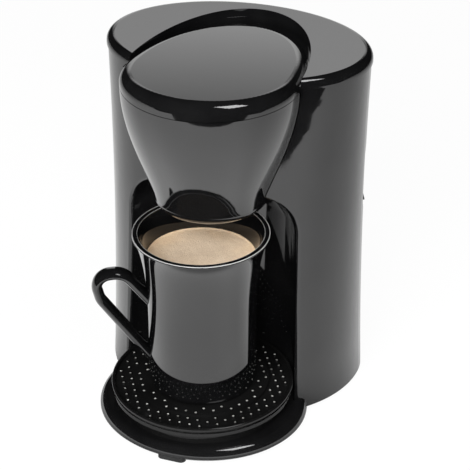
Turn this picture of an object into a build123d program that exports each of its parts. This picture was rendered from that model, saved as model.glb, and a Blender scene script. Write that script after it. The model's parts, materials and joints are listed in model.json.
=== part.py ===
"""One-cup drip coffee maker with its mug, as an assembly of separate solids.

Millimetres, +Z up, front towards -Y. The origin is on the table, under the middle of the outline.
"""
from build123d import *
from math import atan2, cos, degrees, radians, sin, sqrt, tan
import os

# Overall form
DEPTH = 179.0          # front of the plinth to the back of the housing
GROUND_GAP = 3.0       # underside of the base above the table
SEAM_Z = 210.3         # top of the housing, where the lid starts
WALL = 2.5             # moulded walls
FIT_GAP = 0.3          # clearance between mouldings that fit together
RUN_GAP = 0.05         # radial clearance of a pin in its hole

# Housing: an oval column, drawn in a little at the waist and reaching further forward at its foot
OVAL_HALF_W = 79.3
OVAL_HALF_D = 56.0     # widest line to the back, and to the front at the seam
WAIST_Z = 112.0
WAIST_IN = 2.3
WAIST_FRONT_D = 64.5   # widest line to the front at the waist
SEAM_IN = 0.8          # drawn in under the lid
FOOT_FRONT_D = 73.5    # widest line to the front at the foot
BODY_Y = DEPTH / 2 - OVAL_HALF_D

# Oval plinth in front
PLINTH_HALF_W = 63.2
PLINTH_HALF_D = 58.5
PLINTH_TOP = 10.3
PLINTH_EDGE = 5.5
PLINTH_HEM = 1.5
PLINTH_Y = PLINTH_HALF_D - DEPTH / 2

# Cup bay: a round niche with a domed ceiling
BAY_FORWARD = 1.0      # bay axis in front of the plinth axis
BAY_R = 55.0
BAY_TOP = 146.0
BAY_ROUND = 26.0
BAY_LINER = 5.0
MOUTH_ROUND = 2.0      # edge of the housing round the niche
BAY_Y = PLINTH_Y - BAY_FORWARD

# Filter head: a tulip-shaped funnel
HEAD_BACK = 17.7       # head axis behind the bay axis
HEAD_R = 50.9
HEAD_BOTTOM = 136.5
HEAD_NECK_R = 33.5
HEAD_ROUND = 5.0
HEAD_SHOULDER = 27.5
HEAD_FLARE = 3.4
HEAD_FLARE_RISE = 21.5
HEAD_OUTLET_R = 4.0
LEDGE_Z = 194.0
LEDGE_W = 4.0
LEDGE_H = 3.0
HEAD_Y = BAY_Y + HEAD_BACK

# Filter basket and its permanent filter
BASKET_WALL = 1.8
BASKET_FLANGE = 2.0
BASKET_LOW_R = 25.0
BASKET_OUTLET_R = 3.5
BASKET_LIFT = 4.0      # basket floor above the head's floor
FILTER_RIM = 2.5
FILTER_BAR = 1.6
FILTER_BARS = 4
MESH_T = 0.5
FILTER_CUP_R = 15.0

# Lid
LID_GAP = 0.4
LID_WALL = 2.6
LID_EDGE = 5.0
DISC_EDGE = 7.0
CRESCENT_H = 6.6
DISC_RISE = 7.5        # disc above the seam, at the head axis
DISC_SLOPE = 3.5       # degrees, falling towards the back
SCOOP_IN = 10.7        # back wall of the finger scoop in front of the housing's back
SCOOP_W = 7.0          # back edge of the disc to that wall
SCOOP_DEEP = 4.0       # floor of the scoop below the disc's top
LID_OPEN_SPACE = 40.0  # taller than anything on the lid
SCOOP_BACK = DEPTH / 2 - SCOOP_IN - HEAD_Y
DISC_BACK = SCOOP_BACK - SCOOP_W

# Lid hinge
HINGE_IN = 3.2         # pivot in front of the housing's back
HINGE_UP = 2.6         # pivot above the seam
PIN_R = 1.0
EAR_R = 2.2
EAR_W = 5.0
KNUCKLE_R = 2.3
KNUCKLE_HALF = 19.6
NOTCH_FRONT = 3.2
NOTCH_UP = 2.6
EAR_ROOT = 8.0
HINGE_Y = DEPTH / 2 - HINGE_IN
HINGE_Z = SEAM_Z + HINGE_UP

# Drip tray
TRAY_GAP = 0.8
TRAY_LIP_Z = 23.4
TRAY_LIP_W = 1.2
TRAY_PLATE_Z = 21.8
TRAY_WALL = 1.8
TRAY_SKIRT_Z = 18.0
TRAY_FOOT_IN = 4.5
PLATFORM_R = 40.0
PLATFORM_Z = 23.7
NUB_PITCH = 6.1
NUB_R = 1.15
NUB_H = 1.4
NUB_SIDES = 5
TRAY_R = BAY_R - TRAY_GAP

# Mug
MUG_H = 100.3
MUG_RIM_R = 40.0
MUG_BELLY_R = 34.2
MUG_LOW_R = 31.6
MUG_BASE_R = 29.2
MUG_ROUND = 3.0
MUG_INNER_ROUND = 7.0
MUG_FLARE = 21.0
MUG_WALL = 3.0
MUG_FLOOR = 5.0
MUG_FOOT_W = 3.0
MUG_FOOT_H = 1.2
HANDLE_TURN = 205.0    # degrees from +X, to the front left
HANDLE_REACH = 64.0
HANDLE_T = 6.2
HANDLE_W = 11.0
HANDLE_TOP = 76.0      # heights above the mug's foot
HANDLE_ELBOW = 59.0
HANDLE_ROOT_TOP = 56.0
HANDLE_ROOT_LOW = 17.0

# Water tank behind the head
TANK_FLOOR = 163.0
TANK_TOP = 204.5
TANK_WALL = 2.0
TANK_HEAD_GAP = 2.6
TANK_FRONT = 26.0      # front ends of the tank, ahead of the widest line
RISER_GAP = 0.5        # riser to the tank's inner wall

# Boiler: an aluminium bar bent to a U, with a water way and a heater cast in
LEG_TOP = 92.0
BAR_T = 10.0
BORE_STEP = 12.0       # water way to heater
BEND_LOW = 28.0
WATER_R = 3.0
NIPPLE_R = 4.6
NIPPLE_L = 10.0
HEATER_R = 3.3
HEATER_OUT = 7.0
TERMINAL_R = 1.2
TERMINAL_L = 8.0
TOWER_GAP = 1.5        # tower behind the bay's liner
TOWER_T = 5.0
TOWER_SIDE = 8.0       # tower beyond the boiler's legs
TOWER_TOP = 86.0
STRAP_T = 1.5
STRAP_H = 36.0
STRAP_Z = 70.0
THERMOSTAT_R = 8.0
THERMOSTAT_H = 4.5
TAB_W = 4.8
TAB_T = 0.8
TAB_L = 3.5
TOWER_Y = BAY_Y + BAY_R + BAY_LINER + TOWER_GAP
BOILER_Y = TOWER_Y + TOWER_T + (BORE_STEP + BAR_T) / 2
WATER_Y = BOILER_Y - BORE_STEP / 2
HEATER_Y = BOILER_Y + BORE_STEP / 2
STRAP_Y = BOILER_Y + (BORE_STEP + BAR_T) / 2
RISER_OUT = HEAD_R + TANK_HEAD_GAP + TANK_WALL + RISER_GAP + NIPPLE_R
LEG_X = sqrt(RISER_OUT ** 2 - (WATER_Y - HEAD_Y) ** 2)
TOWER_W = 2 * (LEG_X + TOWER_SIDE)

# Hoses, riser and spout
HOSE_WALL = 1.8
HOSE_SLIP = 0.05
HOSE_START = 1.0       # hose end above the bar
TANK_NIPPLE = 10.0
CLAMP_T = 1.0
CLAMP_H = 4.0
CLAMP_INSET = 2.5
CLAMP_SIDES = 8
RISER_TOP = 203.0
SPOUT_LOW = 198.5
SPOUT_TOP = 206.0
SPOUT_W = 10.0
SPOUT_WALL = 1.8
SPOUT_HUB_R = 6.6
NOZZLE_R = 4.0
NOZZLE_DROP = 1.2
SPOUT_GAP = 0.5

# Rocker switch on the right-hand side
SWITCH_TURN = 16.0     # degrees round the oval, behind its widest point
SWITCH_Z = 137.0
SWITCH_W = 22.0
SWITCH_H = 48.0
SWITCH_RECESS = 1.5
SWITCH_DEEP = 14.0
SWITCH_BACK = 3.0
ROCKER_W = 14.4
ROCKER_REACH = 17.6
ROCKER_TILT = 7.0
ROCKER_VALLEY = 4.0
ROCKER_BACK = 2.4
PIVOT_DEEP = 6.0
PIVOT_R = 1.2
PIVOT_L = 18.4

# Cord inlet, screws and feet
GLAND_Z = 22.0
GLAND_R = 6.0
GLAND_BORE_R = 3.5
GLAND_FLANGE_R = 8.5
GLAND_FLANGE_T = 2.0
GLAND_RECESS = 0.6     # bush below the housing's surface
PLATE_T = 2.5
SCREW_R = 1.4
SCREW_HEAD_R = 3.0
SCREW_HEAD_H = 1.5
SCREW_COVER = 1.2      # left above a screw's hole in the plinth
SCREW_SIDES = 6
BOSS_R = 4.0
BOSS_H = 14.0
BOSS_IN = 8.0
BOSS_TURNS = (8.0, 60.0, 120.0, 172.0)
PLINTH_BOSS_X = 30.0
PLINTH_BOSS_IN = 27.5
FOOT_W = 17.0
FOOT_D = 9.0
FOOT_ROUND = 3.0
FRONT_FOOT_IN = 6.2
REAR_FOOT_X = 46.0
REAR_FOOT_IN = 29.5

PLATE_Z = GROUND_GAP + PLATE_T
SCREW_L = PLINTH_TOP - SCREW_COVER - FIT_GAP - GROUND_GAP
UP = (Align.CENTER, Align.CENTER, Align.MIN)
ALONG_X = Rot(0, 90, 0)
ALONG_Y = Rot(-90, 0, 0)


# Shared forms

def rod(radius, x, y, low, high):
    """Upright round rod between two heights."""
    return Pos(x, y, low) * Cylinder(radius, high - low, align=UP)


def pipe(radius, bore, x, y, low, high):
    """Upright round tube between two heights."""
    return rod(radius, x, y, low, high) - rod(bore, x, y, low, high)


def block(low, high):
    """Box between two corners."""
    size = [b - a for a, b in zip(low, high)]
    middle = [(a + b) / 2 for a, b in zip(low, high)]
    return Pos(*middle) * Box(*size)


def turned(outline, y):
    """Body turned about an upright axis at y, from an outline of radius and height."""
    return Pos(0, y, 0) * revolve(Plane.XZ * make_face(outline.edges()), Axis.Z)


def oval_plan(inset, front):
    """The housing's plan, drawn in: a half ellipse behind the widest line and another in front of it."""
    half_w = OVAL_HALF_W - inset
    outline = EllipticalCenterArc((0, 0), half_w, OVAL_HALF_D - inset, 0, arc_size=180)
    outline += EllipticalCenterArc((0, 0), half_w, front - inset, 180, arc_size=180)
    return Pos(0, BODY_Y) * make_face(outline.edges())


def oval(inset, front, low, high):
    """Upright prism on the housing's plan."""
    return Pos(0, 0, low) * extrude(oval_plan(inset, front), high - low)


def oval_point(turn, inset):
    """Place on the oval behind its widest line, at an angle from its right-hand end."""
    x = cos(radians(turn)) * (OVAL_HALF_W - inset)
    return x, BODY_Y + sin(radians(turn)) * (OVAL_HALF_D - inset)


def oval_normal(turn):
    """Direction square to the oval there, in degrees from +X."""
    return degrees(atan2(sin(radians(turn)) / OVAL_HALF_D, cos(radians(turn)) / OVAL_HALF_W))


def column(inset):
    """The housing's column from foot to seam, drawn in by an inset."""
    foot = Pos(0, 0, GROUND_GAP) * oval_plan(inset, FOOT_FRONT_D)
    waist = Pos(0, 0, WAIST_Z) * oval_plan(inset + WAIST_IN, WAIST_FRONT_D)
    seam = Pos(0, 0, SEAM_Z) * oval_plan(inset + SEAM_IN, OVAL_HALF_D)
    return loft([foot, waist, seam])


def bay_space(grow):
    """The niche for the cup, grown all round."""
    radius = BAY_R + grow
    top = BAY_TOP + grow
    curve = BAY_ROUND + grow
    outline = (
        Line((0, 0), (radius, 0))
        + Line((radius, 0), (radius, top - curve))
        + CenterArc((radius - curve, top - curve), curve, 0, 90)
        + Line((radius - curve, top), (0, top))
        + Line((0, top), (0, 0))
    )
    return turned(outline, BAY_Y)


def head_space(grow):
    """The funnel's outside as a solid, grown by a clearance or drawn in by a wall."""
    radius = HEAD_R + grow
    neck = HEAD_NECK_R + grow
    bottom = HEAD_BOTTOM - grow
    curve = HEAD_ROUND + grow
    side = Bezier(
        (radius, SEAM_Z),
        (radius, SEAM_Z - HEAD_SHOULDER),
        (neck + HEAD_FLARE, HEAD_BOTTOM + HEAD_FLARE_RISE),
        (neck, bottom + curve),
    )
    outline = (
        side
        + CenterArc((neck - curve, bottom + curve), curve, 270, 90)
        + Line((neck - curve, bottom), (0, bottom))
        + Line((0, bottom), (0, SEAM_Z))
        + Line((0, SEAM_Z), (radius, SEAM_Z))
    )
    return turned(outline, HEAD_Y)


def spout_run(width, low, high):
    """Straight bar from the riser to the head's axis."""
    length = sqrt(LEG_X ** 2 + (WATER_Y - HEAD_Y) ** 2)
    turn = degrees(atan2(HEAD_Y - WATER_Y, LEG_X))
    bar = Box(length, width, high - low, align=(Align.MIN, Align.CENTER, Align.MIN))
    return Pos(-LEG_X, WATER_Y, low) * Rot(0, 0, turn) * bar


def screw_places():
    """Plan positions of the screws that hold the base plate."""
    places = [oval_point(turn, BOSS_IN) for turn in BOSS_TURNS]
    front = PLINTH_BOSS_IN - DEPTH / 2
    return places + [(-PLINTH_BOSS_X, front), (PLINTH_BOSS_X, front)]


def stud(radius, length):
    """Upright shank or head of a small screw."""
    return extrude(RegularPolygon(radius, SCREW_SIDES), length)


def drilling(length):
    """Upright hole that clears a screw's shank, centred on its middle."""
    plan = RegularPolygon(SCREW_R + RUN_GAP, SCREW_SIDES, major_radius=False)
    return extrude(plan, length / 2, both=True)


def pilot_holes(top):
    """Holes for the shanks of the base screws, up to a height."""
    return [Pos(x, y, 0) * drilling(2 * top) for x, y in screw_places()]


def screw(length):
    """Upright screw standing on its head."""
    return stud(SCREW_HEAD_R, SCREW_HEAD_H) + stud(SCREW_R, SCREW_HEAD_H + length)


def switch_frame_plane():
    """Plane on the housing's side, facing out, with its X level and its Y up."""
    x, y = oval_point(SWITCH_TURN, WAIST_IN)
    normal = radians(oval_normal(SWITCH_TURN))
    outward = (cos(normal), sin(normal), 0)
    return Plane(origin=(x, y, SWITCH_Z), x_dir=(-sin(normal), cos(normal), 0), z_dir=outward)


def switch_slot(shrink, deep, proud):
    """Round-ended upright block through the housing's side."""
    plan = SlotOverall(SWITCH_H - 2 * shrink, SWITCH_W - 2 * shrink, rotation=90)
    return switch_frame_plane() * Pos(0, 0, -deep) * extrude(plan, deep + proud)


# Housing group

def open_column():
    """The column with the niche cut out and the edge of its mouth rounded."""
    whole = column(0)
    niche = bay_space(0)
    body = whole - niche
    mouth = [edge for edge in new_edges(whole, niche, combined=body) if edge.center().Z > PLATE_Z]
    return fillet(mouth, MOUTH_ROUND)


def main_housing():
    """Oval shell, open to the bay and the head, with screw bosses and hinge ears."""
    shell = open_column() - column(WALL)
    for turn in BOSS_TURNS:
        x, y = oval_point(turn, BOSS_IN)
        rib = Box(BOSS_IN, BOSS_R, BOSS_H, align=(Align.MIN, Align.CENTER, Align.MIN))
        rib = Pos(x, y, PLATE_Z) * Rot(0, 0, oval_normal(turn)) * rib
        shell += (rib + rod(BOSS_R, x, y, PLATE_Z, PLATE_Z + BOSS_H)) & column(0)
    for side in (-1, 1):
        middle = side * (KNUCKLE_HALF + RUN_GAP + FIT_GAP + EAR_W / 2)
        eye = Pos(middle, HINGE_Y, HINGE_Z) * ALONG_X * Cylinder(EAR_R, EAR_W)
        post = block(
            (middle - EAR_W / 2, HINGE_Y - EAR_R, SEAM_Z - EAR_ROOT),
            (middle + EAR_W / 2, HINGE_Y + EAR_R / 2, HINGE_Z),
        )
        shell += eye + post
    shell -= Pos(0, HINGE_Y, HINGE_Z) * ALONG_X * Cylinder(PIN_R + RUN_GAP, 2 * OVAL_HALF_W)
    shell -= head_space(FIT_GAP)
    shell -= switch_slot(0, SWITCH_DEEP, SWITCH_DEEP)
    shell -= Pos(0, DEPTH / 2, GLAND_Z) * ALONG_Y * Cylinder(GLAND_R + FIT_GAP, 4 * WALL)
    return shell - pilot_holes(PLATE_Z + BOSS_H)


def cup_bay():
    """Liner of the niche: a thick wall and dome behind the housing's skin."""
    liner = (bay_space(BAY_LINER) - bay_space(0)) & column(WALL + FIT_GAP)
    liner -= block((-DEPTH, -DEPTH, 0), (DEPTH, DEPTH, PLATE_Z))
    return liner - head_space(FIT_GAP)


def plinth():
    """Oval foot of the machine and floor of the niche, hollow underneath."""
    outer = PLINTH_HALF_W
    inner = outer - WALL - PLINTH_HEM
    outline = (
        Line((0, PLINTH_TOP), (outer - PLINTH_EDGE, PLINTH_TOP))
        + CenterArc((outer - PLINTH_EDGE, PLINTH_TOP - PLINTH_EDGE), PLINTH_EDGE, 0, 90)
        + Line((outer, PLINTH_TOP - PLINTH_EDGE), (outer, GROUND_GAP + PLINTH_HEM))
        + Line((outer, GROUND_GAP + PLINTH_HEM), (outer - PLINTH_HEM, GROUND_GAP))
        + Line((outer - PLINTH_HEM, GROUND_GAP), (inner, GROUND_GAP))
        + Line((inner, GROUND_GAP), (inner, PLINTH_TOP - WALL))
        + Line((inner, PLINTH_TOP - WALL), (0, PLINTH_TOP - WALL))
        + Line((0, PLINTH_TOP - WALL), (0, PLINTH_TOP))
    )
    shell = Pos(0, PLINTH_Y, 0) * scale(turned(outline, 0), by=(1, PLINTH_HALF_D / PLINTH_HALF_W, 1))
    niche = rod(BAY_R - FIT_GAP, 0, BAY_Y, 0, PLINTH_TOP)
    shell -= column(-FIT_GAP) - niche
    for x, y in screw_places()[len(BOSS_TURNS):]:
        shell += rod(BOSS_R, x, y, PLATE_Z, PLINTH_TOP - WALL / 2)
    return shell - pilot_holes(PLINTH_TOP - SCREW_COVER)


def base_plate():
    """Floor of the machine, with the tower that carries the boiler."""
    skirt = WALL + PLINTH_HEM + FIT_GAP
    front = extrude(Ellipse(PLINTH_HALF_W - skirt, PLINTH_HALF_D - skirt), PLATE_T)
    front = Pos(0, PLINTH_Y, GROUND_GAP) * front
    bridge = rod(BAY_R - FIT_GAP, 0, BAY_Y, GROUND_GAP, PLATE_Z) & front
    plate = oval(WALL + FIT_GAP, FOOT_FRONT_D, GROUND_GAP, PLATE_Z)
    plate += (front - oval(-FIT_GAP, FOOT_FRONT_D, GROUND_GAP, PLATE_Z)) + bridge
    plate += block((-TOWER_W / 2, TOWER_Y, PLATE_Z - PLATE_T), (TOWER_W / 2, TOWER_Y + TOWER_T, TOWER_TOP))
    for x, z in bracket_screw_places():
        plate -= Pos(x, TOWER_Y, z) * ALONG_Y * drilling(4 * TOWER_T)
    return plate - pilot_holes(2 * PLATE_Z)


def base_screws():
    """Self-tapping screws up through the base plate."""
    places = screw_places()
    return Compound(children=[Pos(x, y, GROUND_GAP - SCREW_HEAD_H) * screw(SCREW_L) for x, y in places])


def feet():
    """Three pads under the base: one at the front edge, two at the back."""
    places = (
        (0, FRONT_FOOT_IN - DEPTH / 2),
        (-REAR_FOOT_X, DEPTH / 2 - REAR_FOOT_IN),
        (REAR_FOOT_X, DEPTH / 2 - REAR_FOOT_IN),
    )
    pad = extrude(RectangleRounded(FOOT_W, FOOT_D, FOOT_ROUND), GROUND_GAP)
    return Compound(children=[Pos(x, y, 0) * pad for x, y in places])


def cord_gland():
    """Bush in the back wall for the mains lead."""
    face = DEPTH / 2 - GLAND_RECESS
    inside = DEPTH / 2 - WALL - WAIST_IN - FIT_GAP
    sleeve = Pos(0, face, GLAND_Z) * Rot(90, 0, 0) * Cylinder(GLAND_R, face - inside, align=UP)
    flange = Pos(0, inside, GLAND_Z) * Rot(90, 0, 0) * Cylinder(GLAND_FLANGE_R, GLAND_FLANGE_T, align=UP)
    bore = Pos(0, face, GLAND_Z) * ALONG_Y * Cylinder(GLAND_BORE_R, DEPTH / 2)
    return sleeve + flange - bore


# Filter group

def filter_head():
    """Funnel shell with a ledge for the basket, an outlet and a notch for the spout."""
    shell = head_space(0) - head_space(-WALL)
    ledge = pipe(HEAD_R, HEAD_R - WALL - LEDGE_W, 0, HEAD_Y, LEDGE_Z - LEDGE_H, LEDGE_Z)
    shell += ledge & head_space(-WALL / 2)
    shell -= rod(HEAD_OUTLET_R, 0, HEAD_Y, HEAD_BOTTOM - WALL, HEAD_BOTTOM + 2 * WALL)
    return shell - spout_run(SPOUT_W + 2 * SPOUT_GAP, SPOUT_LOW - SPOUT_GAP, SEAM_Z)


def basket_form(inset, floor):
    """Cone of the basket, drawn in by a wall, above a floor height."""
    top_r = HEAD_R - WALL - LEDGE_W - FIT_GAP - inset
    low_r = BASKET_LOW_R - inset
    top = LEDGE_Z + BASKET_FLANGE
    outline = Polyline((0, floor), (low_r, floor), (top_r, LEDGE_Z), (top_r, top), (0, top), close=True)
    return turned(outline, HEAD_Y)


def basket_floor():
    """Underside of the basket."""
    return HEAD_BOTTOM + WALL + BASKET_LIFT


def filter_basket():
    """Conical basket that hangs by its flange on the head's ledge."""
    flange_r = HEAD_R - 2 * WALL
    cone = basket_form(0, basket_floor()) - basket_form(BASKET_WALL, basket_floor() + BASKET_WALL)
    bore = HEAD_R - WALL - LEDGE_W - FIT_GAP - BASKET_WALL
    flange = pipe(flange_r, bore, 0, HEAD_Y, LEDGE_Z, LEDGE_Z + BASKET_FLANGE)
    outlet = rod(BASKET_OUTLET_R, 0, HEAD_Y, basket_floor(), basket_floor() + BASKET_WALL)
    return cone + flange - outlet


def filter_form(inset):
    """Cone of the permanent filter inside the basket, drawn in by an inset."""
    seat = LEDGE_Z + BASKET_FLANGE
    top_r = HEAD_R - WALL - LEDGE_W - 2 * FIT_GAP - BASKET_WALL - inset
    low_r = FILTER_CUP_R - inset
    floor = basket_floor() + BASKET_WALL + FIT_GAP + inset
    outline = Polyline((0, floor), (low_r, floor), (top_r, LEDGE_Z), (top_r, seat), (0, seat), close=True)
    return turned(outline, HEAD_Y)


def filter_frame():
    """Bars, rim and bottom cup of the permanent filter."""
    cage = filter_form(0) - filter_form(FILTER_BAR)
    seat = LEDGE_Z + BASKET_FLANGE
    cup_top = basket_floor() + BASKET_WALL + FIT_GAP + FILTER_BAR
    keep = rod(HEAD_R, 0, HEAD_Y, LEDGE_Z, seat) + rod(FILTER_CUP_R, 0, HEAD_Y, 0, cup_top)
    for step in range(FILTER_BARS):
        bar = Box(HEAD_R, FILTER_RIM, SEAM_Z, align=(Align.MIN, Align.CENTER, Align.MIN))
        keep += Pos(0, HEAD_Y, 0) * Rot(0, 0, step * 360 / FILTER_BARS) * bar
    rim_r = HEAD_R - WALL - LEDGE_W
    rim = pipe(rim_r, rim_r - FILTER_BAR - LEDGE_W, 0, HEAD_Y, seat, seat + FILTER_BAR)
    return (cage & keep) + rim


def filter_mesh():
    """Fine cone of gauze lying inside the frame's bars."""
    gauze = filter_form(FILTER_BAR) - filter_form(FILTER_BAR + MESH_T)
    return gauze - rod(HEAD_R, 0, HEAD_Y, LEDGE_Z, SEAM_Z)


# Water group

def tank_plan(inset):
    """Crescent behind the head, drawn in by a wall."""
    plan = oval_plan(WALL + WAIST_IN + FIT_GAP + inset, OVAL_HALF_D)
    plan -= Pos(0, HEAD_Y) * Circle(HEAD_R + TANK_HEAD_GAP + inset)
    front = Rectangle(4 * OVAL_HALF_W, DEPTH, align=(Align.CENTER, Align.MAX))
    return plan - Pos(0, BODY_Y - TANK_FRONT + inset) * front


def water_tank():
    """Open crescent tank with an outlet nipple and a sleeve for the riser."""
    height = TANK_TOP - TANK_FLOOR
    tank = Pos(0, 0, TANK_FLOOR) * extrude(tank_plan(0), height)
    tank -= Pos(0, 0, TANK_FLOOR + TANK_WALL) * extrude(tank_plan(TANK_WALL), height)
    tank += rod(NIPPLE_R, LEG_X, WATER_Y, TANK_FLOOR - TANK_NIPPLE, TANK_FLOOR + TANK_WALL / 2)
    tank -= rod(WATER_R, LEG_X, WATER_Y, TANK_FLOOR - TANK_NIPPLE, TANK_FLOOR + TANK_WALL)
    tank += rod(SPOUT_HUB_R, -LEG_X, WATER_Y, TANK_FLOOR, TANK_FLOOR + 3 * TANK_WALL)
    tank -= rod(NIPPLE_R + RUN_GAP, -LEG_X, WATER_Y, TANK_FLOOR, TANK_FLOOR + 3 * TANK_WALL)
    return tank - spout_run(SPOUT_W + 2 * SPOUT_GAP, SPOUT_LOW - SPOUT_GAP, SEAM_Z)


def riser_pipe():
    """Pipe that carries hot water up through the tank."""
    return pipe(NIPPLE_R, WATER_R, -LEG_X, WATER_Y, TANK_FLOOR - TANK_NIPPLE, RISER_TOP)


def water_spout():
    """Hollow arm from the riser to a nozzle over the filter."""
    arm = spout_run(SPOUT_W, SPOUT_LOW, SPOUT_TOP)
    arm += rod(SPOUT_HUB_R, -LEG_X, WATER_Y, SPOUT_LOW, SPOUT_TOP)
    arm += rod(SPOUT_HUB_R, 0, HEAD_Y, SPOUT_LOW, SPOUT_TOP)
    arm += rod(NOZZLE_R, 0, HEAD_Y, SPOUT_LOW - NOZZLE_DROP, SPOUT_LOW + SPOUT_WALL)
    arm -= rod(NIPPLE_R + RUN_GAP, -LEG_X, WATER_Y, SPOUT_LOW, RISER_TOP)
    arm -= spout_run(SPOUT_W - 2 * SPOUT_WALL, RISER_TOP - SPOUT_WALL, SPOUT_TOP - SPOUT_WALL)
    return arm - rod(NOZZLE_R - SPOUT_WALL / 2, 0, HEAD_Y, SPOUT_LOW - NOZZLE_DROP, SPOUT_TOP - SPOUT_WALL)


def boiler():
    """U-shaped bar with a hose nipple on each leg."""
    bend = BEND_LOW + LEG_X
    route = (
        Line((-LEG_X, BOILER_Y, LEG_TOP), (-LEG_X, BOILER_Y, bend))
        + ThreePointArc((-LEG_X, BOILER_Y, bend), (0, BOILER_Y, BEND_LOW), (LEG_X, BOILER_Y, bend))
        + Line((LEG_X, BOILER_Y, bend), (LEG_X, BOILER_Y, LEG_TOP))
    )
    section = Rectangle(BAR_T, BORE_STEP + BAR_T)
    bar = sweep(Pos(-LEG_X, BOILER_Y, LEG_TOP) * section, path=route)
    for side in (-1, 1):
        bar += pipe(NIPPLE_R, WATER_R, side * LEG_X, WATER_Y, LEG_TOP, LEG_TOP + NIPPLE_L)
    return bar


def heater_ends():
    """Cold ends of the cast-in heater, with a pin on each."""
    ends = []
    for side in (-1, 1):
        top = LEG_TOP + HEATER_OUT
        sleeve = rod(HEATER_R, side * LEG_X, HEATER_Y, LEG_TOP, top)
        ends.append(sleeve + rod(TERMINAL_R, side * LEG_X, HEATER_Y, LEG_TOP, top + TERMINAL_L))
    return Compound(children=ends)


def bracket_screw_places():
    """Screws of the boiler strap, between the legs."""
    reach = STRAP_H / 2 - 2 * SCREW_HEAD_R
    return [(0, STRAP_Z - reach), (0, STRAP_Z + reach)]


def boiler_bracket():
    """Steel strap that holds the boiler's legs against the tower."""
    strap = Pos(0, STRAP_Y + STRAP_T / 2, STRAP_Z) * Box(TOWER_W, STRAP_T, STRAP_H)
    for x, z in bracket_screw_places():
        strap -= Pos(x, STRAP_Y, z) * ALONG_Y * drilling(4 * STRAP_T)
    return strap


def bracket_screws():
    """Long screws through the strap into the tower."""
    back = STRAP_Y + STRAP_T
    long_screw = Pos(0, back + SCREW_HEAD_H, 0) * Rot(90, 0, 0) * screw(back - TOWER_Y)
    return Compound(children=[Pos(x, 0, z) * long_screw for x, z in bracket_screw_places()])


def thermostat():
    """Disc thermostat on the strap, with two blade terminals."""
    back = STRAP_Y + STRAP_T
    can = Pos(0, back, STRAP_Z) * ALONG_Y * Cylinder(THERMOSTAT_R, THERMOSTAT_H, align=UP)
    for side in (-1, 1):
        x = side * THERMOSTAT_R / 2
        can += block(
            (x - TAB_T / 2, back + THERMOSTAT_H / 2, STRAP_Z - TAB_W / 2),
            (x + TAB_T / 2, back + THERMOSTAT_H + TAB_L, STRAP_Z + TAB_W / 2),
        )
    return can


def hose(x, low, high):
    """Silicone hose slipped over nipples."""
    bore = NIPPLE_R + HOSE_SLIP
    return pipe(bore + HOSE_WALL, bore, x, WATER_Y, low, high)


def inlet_hose():
    """Hose between the tank and the boiler's inlet."""
    return hose(LEG_X, LEG_TOP + HOSE_START, TANK_FLOOR - HOSE_START)


def riser_hose():
    """Hose between the boiler's outlet and the riser."""
    return hose(-LEG_X, LEG_TOP + HOSE_START, TANK_FLOOR - HOSE_START)


def hose_clamps():
    """Clips on the ends of the hoses."""
    bore = NIPPLE_R + HOSE_SLIP + HOSE_WALL
    plan = RegularPolygon(bore + CLAMP_T, CLAMP_SIDES, major_radius=False)
    ring = extrude(plan - RegularPolygon(bore, CLAMP_SIDES, major_radius=False), CLAMP_H)
    low_end = LEG_TOP + HOSE_START + CLAMP_INSET
    high_end = TANK_FLOOR - HOSE_START - CLAMP_INSET - CLAMP_H
    places = [(x, z) for x in (-LEG_X, LEG_X) for z in (low_end, high_end)]
    return Compound(children=[Pos(x, WATER_Y, z) * ring for x, z in places])


# Switch group

def switch_frame():
    """Round-ended insert with a pocket and bearing holes for the rocker."""
    frame = switch_slot(FIT_GAP, SWITCH_DEEP, -SWITCH_RECESS)
    pocket = Box(
        ROCKER_W + 2 * FIT_GAP, 2 * (ROCKER_REACH + FIT_GAP), SWITCH_DEEP - SWITCH_BACK,
        align=(Align.CENTER, Align.CENTER, Align.MAX),
    )
    frame -= switch_frame_plane() * pocket
    return frame - switch_frame_plane() * Pos(0, 0, -PIVOT_DEEP) * pivot(RUN_GAP)


def pivot(grow):
    """Round pivot along the switch's level direction."""
    return ALONG_X * Cylinder(PIVOT_R + grow, PIVOT_L + 2 * grow)


def rocker():
    """Rocker with a shallow valley, pressed at the top and standing proud below."""
    rise = ROCKER_REACH * sin(radians(ROCKER_TILT))
    valley = PIVOT_DEEP - ROCKER_VALLEY
    outline = Polyline(
        (0, valley),
        (ROCKER_REACH, valley + rise),
        (ROCKER_REACH, -ROCKER_BACK),
        (-ROCKER_REACH, -ROCKER_BACK),
        (-ROCKER_REACH, valley + rise),
        close=True,
    )
    key = extrude(Plane.YZ * make_face(outline.edges()), ROCKER_W / 2, both=True)
    key &= ALONG_X * Cylinder(ROCKER_REACH, ROCKER_W)
    key = Rot(-ROCKER_TILT, 0, 0) * (key + pivot(0))
    return switch_frame_plane() * Pos(0, 0, -PIVOT_DEEP) * key


# Lid group

def above_disc(drop):
    """Everything above the disc's sloping top, lowered by a thickness."""
    space = Box(4 * DEPTH, 4 * DEPTH, DEPTH, align=UP)
    return Pos(0, HEAD_Y, SEAM_Z + DISC_RISE - drop) * Rot(-DISC_SLOPE, 0, 0) * space


def egg(grow, back, low, high):
    """Upright prism about the head axis: round in front, drawn out behind."""
    radius = HEAD_R + grow
    reach = back + grow
    rear = Ellipse(radius, reach) & Rectangle(4 * radius, 2 * reach, align=(Align.CENTER, Align.MIN))
    return Pos(0, HEAD_Y, low) * extrude(Circle(radius) + rear, high - low)


def rounded_disc(radius, low, high, edge):
    """Upright disc about the origin with a round top edge."""
    outline = (
        Line((0, low), (radius, low))
        + Line((radius, low), (radius, high - edge))
        + CenterArc((radius - edge, high - edge), edge, 0, 90)
        + Line((radius - edge, high), (0, high))
        + Line((0, high), (0, low))
    )
    return turned(outline, 0)


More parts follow.
